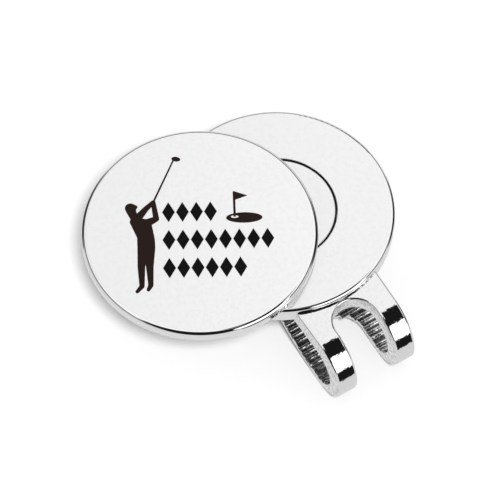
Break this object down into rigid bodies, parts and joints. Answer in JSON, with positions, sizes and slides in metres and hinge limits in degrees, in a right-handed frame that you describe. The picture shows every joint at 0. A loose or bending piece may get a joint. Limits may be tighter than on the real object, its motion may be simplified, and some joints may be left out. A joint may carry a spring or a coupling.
{
  "type": "golf ball marker with hat clip",
  "caption": "Round golf ball marker disc with a printed face, held by a magnet on the round head of a chrome clip whose ridged arm grips a hat brim.",
  "frame": {"origin": "centre of the clip's round face, on the plane that the marker sits on", "axes": "+Z out of the round face, -Y from its centre towards the prongs and the fold, +X to the right seen from in front of the prongs"},
  "size_m": [0.0408, 0.0404, 0.0119],
  "materials": {
    "clip_chrome": "polished",
    "magnet_nickel": "polished",
    "dark_glue": "gloss",
    "marker_chrome": "polished",
    "print_ink": "satin"
  },
  "bodies": {
    "clip": {"clip_body": "clip_chrome", "magnet": "magnet_nickel", "magnet_glue": "dark_glue"},
    "marker": {"marker_disc": "marker_chrome", "print_golfer": "print_ink", "print_rows": "print_ink", "print_flag": "print_ink"}
  },
  "joints": [
    {"name": "marker_lift", "type": "slide", "parent": "clip", "child": "marker", "axis": [0, 0, 1], "range_m": [0, 0.02], "stiffness_N_per_m": 20, "springref_m": -0.1}
  ]
}
